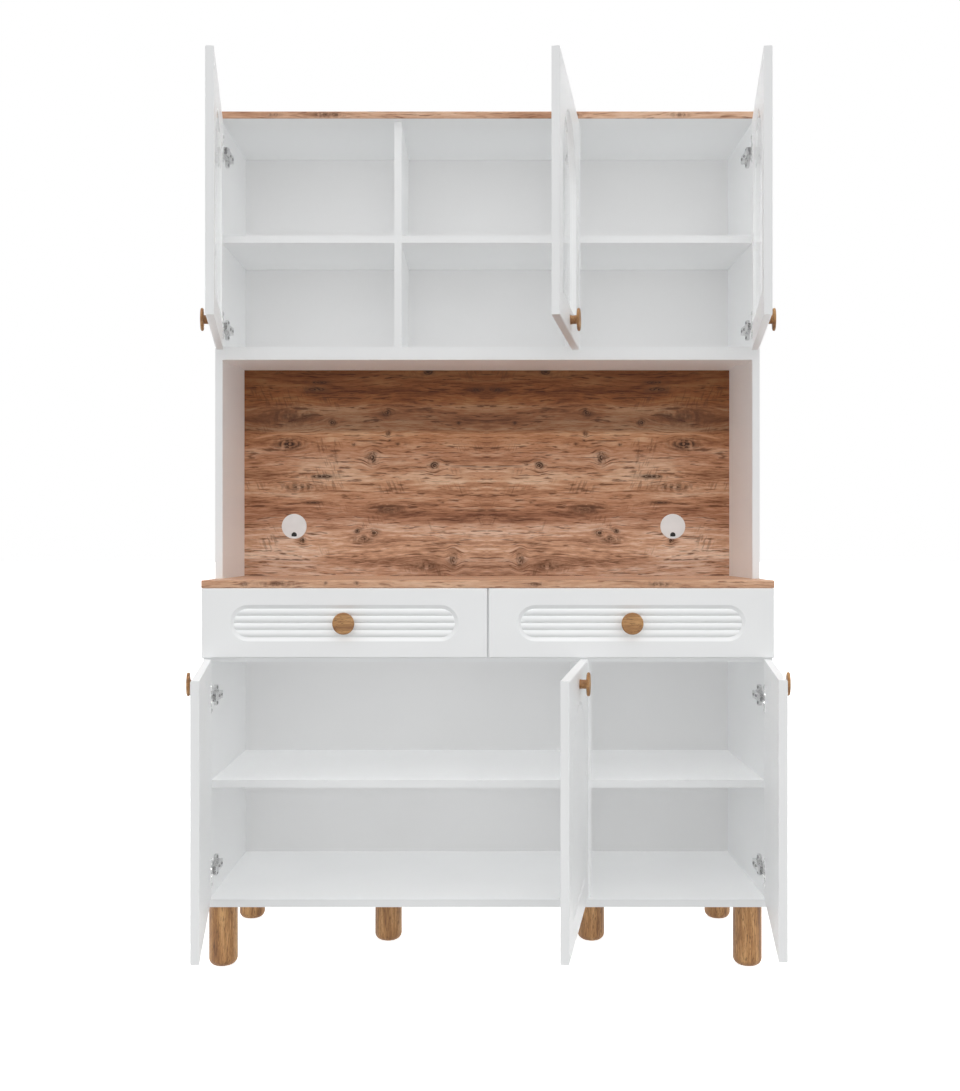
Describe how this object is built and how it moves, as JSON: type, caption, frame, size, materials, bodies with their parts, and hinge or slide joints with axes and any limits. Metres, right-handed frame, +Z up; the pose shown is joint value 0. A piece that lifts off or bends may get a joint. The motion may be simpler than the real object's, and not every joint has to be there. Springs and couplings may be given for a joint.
{
  "type": "coffee station cabinet",
  "caption": "Free-standing white kitchen hutch with reeded and glazed arch doors, drawers, an open niche with a wooden back, and turned legs.",
  "frame": {"origin": "on the floor, under the middle of the base cabinet's front face", "axes": "+X to the right seen from the front, +Y towards the back, +Z up"},
  "size_m": [1.2, 0.7756, 1.837],
  "materials": {
    "white_laminate": "satin white foil on board",
    "white_hardboard": "matt white painted hardboard",
    "brown_wood_laminate": "satin brown knotty wood grain",
    "oak": "satin oiled oak",
    "clear_glass": "clear",
    "nickel": "bright nickel plate",
    "zinc_steel": "zinc plate",
    "white_plastic": "satin white"
  },
  "bodies": {
    "cabinet": {"cable_grommets": "white_plastic", "countertop": "brown_wood_laminate", "drawer_divider": "white_laminate", "drawer_runners": "zinc_steel", "drawer_shelf_board": "white_laminate", "hutch_left_side": "white_laminate", "hutch_right_side": "white_laminate", "leg_studs": "zinc_steel", "legs": "oak", "lower_back_panel": "white_hardboard", "lower_bottom_board": "white_laminate", "lower_hinge_arms": "nickel", "lower_left_shelf": "white_laminate", "lower_left_side": "white_laminate", "lower_partition": "white_laminate", "lower_right_shelf": "white_laminate", "lower_right_side": "white_laminate", "niche_back_panel": "brown_wood_laminate", "niche_front_rail": "white_laminate", "shelf_dowels": "oak", "top_board": "brown_wood_laminate", "upper_back_panel": "white_hardboard", "upper_bottom_board": "white_laminate", "upper_hinge_arms": "nickel", "upper_left_partition": "white_laminate", "upper_left_shelf": "white_laminate", "upper_middle_shelf": "white_laminate", "upper_right_partition": "white_laminate", "upper_right_shelf": "white_laminate"},
    "left_drawer": {"left_drawer_bottom": "white_hardboard", "left_drawer_box": "white_laminate", "left_drawer_front": "white_laminate", "left_drawer_knob": "oak", "left_drawer_slides": "zinc_steel"},
    "lower_left_door": {"lower_left_door": "white_laminate", "lower_left_hinge_cups": "nickel", "lower_left_knob": "oak"},
    "lower_middle_door": {"lower_middle_door": "white_laminate", "lower_middle_hinge_cups": "nickel", "lower_middle_knob": "oak"},
    "lower_right_door": {"lower_right_door": "white_laminate", "lower_right_hinge_cups": "nickel", "lower_right_knob": "oak"},
    "right_drawer": {"right_drawer_bottom": "white_hardboard", "right_drawer_box": "white_laminate", "right_drawer_front": "white_laminate", "right_drawer_knob": "oak", "right_drawer_slides": "zinc_steel"},
    "upper_left_door": {"upper_left_door_frame": "white_laminate", "upper_left_glass": "clear_glass", "upper_left_hinge_cups": "nickel", "upper_left_knob": "oak"},
    "upper_middle_door": {"upper_middle_door_frame": "white_laminate", "upper_middle_glass": "clear_glass", "upper_middle_hinge_cups": "nickel", "upper_middle_knob": "oak"},
    "upper_right_door": {"upper_right_door_frame": "white_laminate", "upper_right_glass": "clear_glass", "upper_right_hinge_cups": "nickel", "upper_right_knob": "oak"}
  },
  "joints": [
    {"name": "lower_left_door_swing", "type": "hinge", "parent": "cabinet", "child": "lower_left_door", "pos_m": [-0.59375, 0.00175, 0.148], "axis": [0, 0, -1], "range_deg": [-80, 25]},
    {"name": "lower_middle_door_swing", "type": "hinge", "parent": "cabinet", "child": "lower_middle_door", "pos_m": [0.2052, 0.0053, 0.148], "axis": [0, 0, 1], "range_deg": [-80, 25]},
    {"name": "lower_right_door_swing", "type": "hinge", "parent": "cabinet", "child": "lower_right_door", "pos_m": [0.59375, 0.00175, 0.148], "axis": [0, 0, 1], "range_deg": [-80, 25]},
    {"name": "upper_left_door_swing", "type": "hinge", "parent": "cabinet", "child": "upper_left_door", "pos_m": [-0.59375, 0.11275, 1.317], "axis": [0, 0, -1], "range_deg": [-80, 25]},
    {"name": "upper_middle_door_swing", "type": "hinge", "parent": "cabinet", "child": "upper_middle_door", "pos_m": [0.1957, 0.1163, 1.317], "axis": [0, 0, 1], "range_deg": [-80, 25]},
    {"name": "upper_right_door_swing", "type": "hinge", "parent": "cabinet", "child": "upper_right_door", "pos_m": [0.59375, 0.11275, 1.317], "axis": [0, 0, 1], "range_deg": [-80, 25]},
    {"name": "left_drawer_slide", "type": "slide", "parent": "cabinet", "child": "left_drawer", "axis": [0, -1, 0], "range_m": [0, 0.25]},
    {"name": "right_drawer_slide", "type": "slide", "parent": "cabinet", "child": "right_drawer", "axis": [0, -1, 0], "range_m": [0, 0.25]}
  ]
}
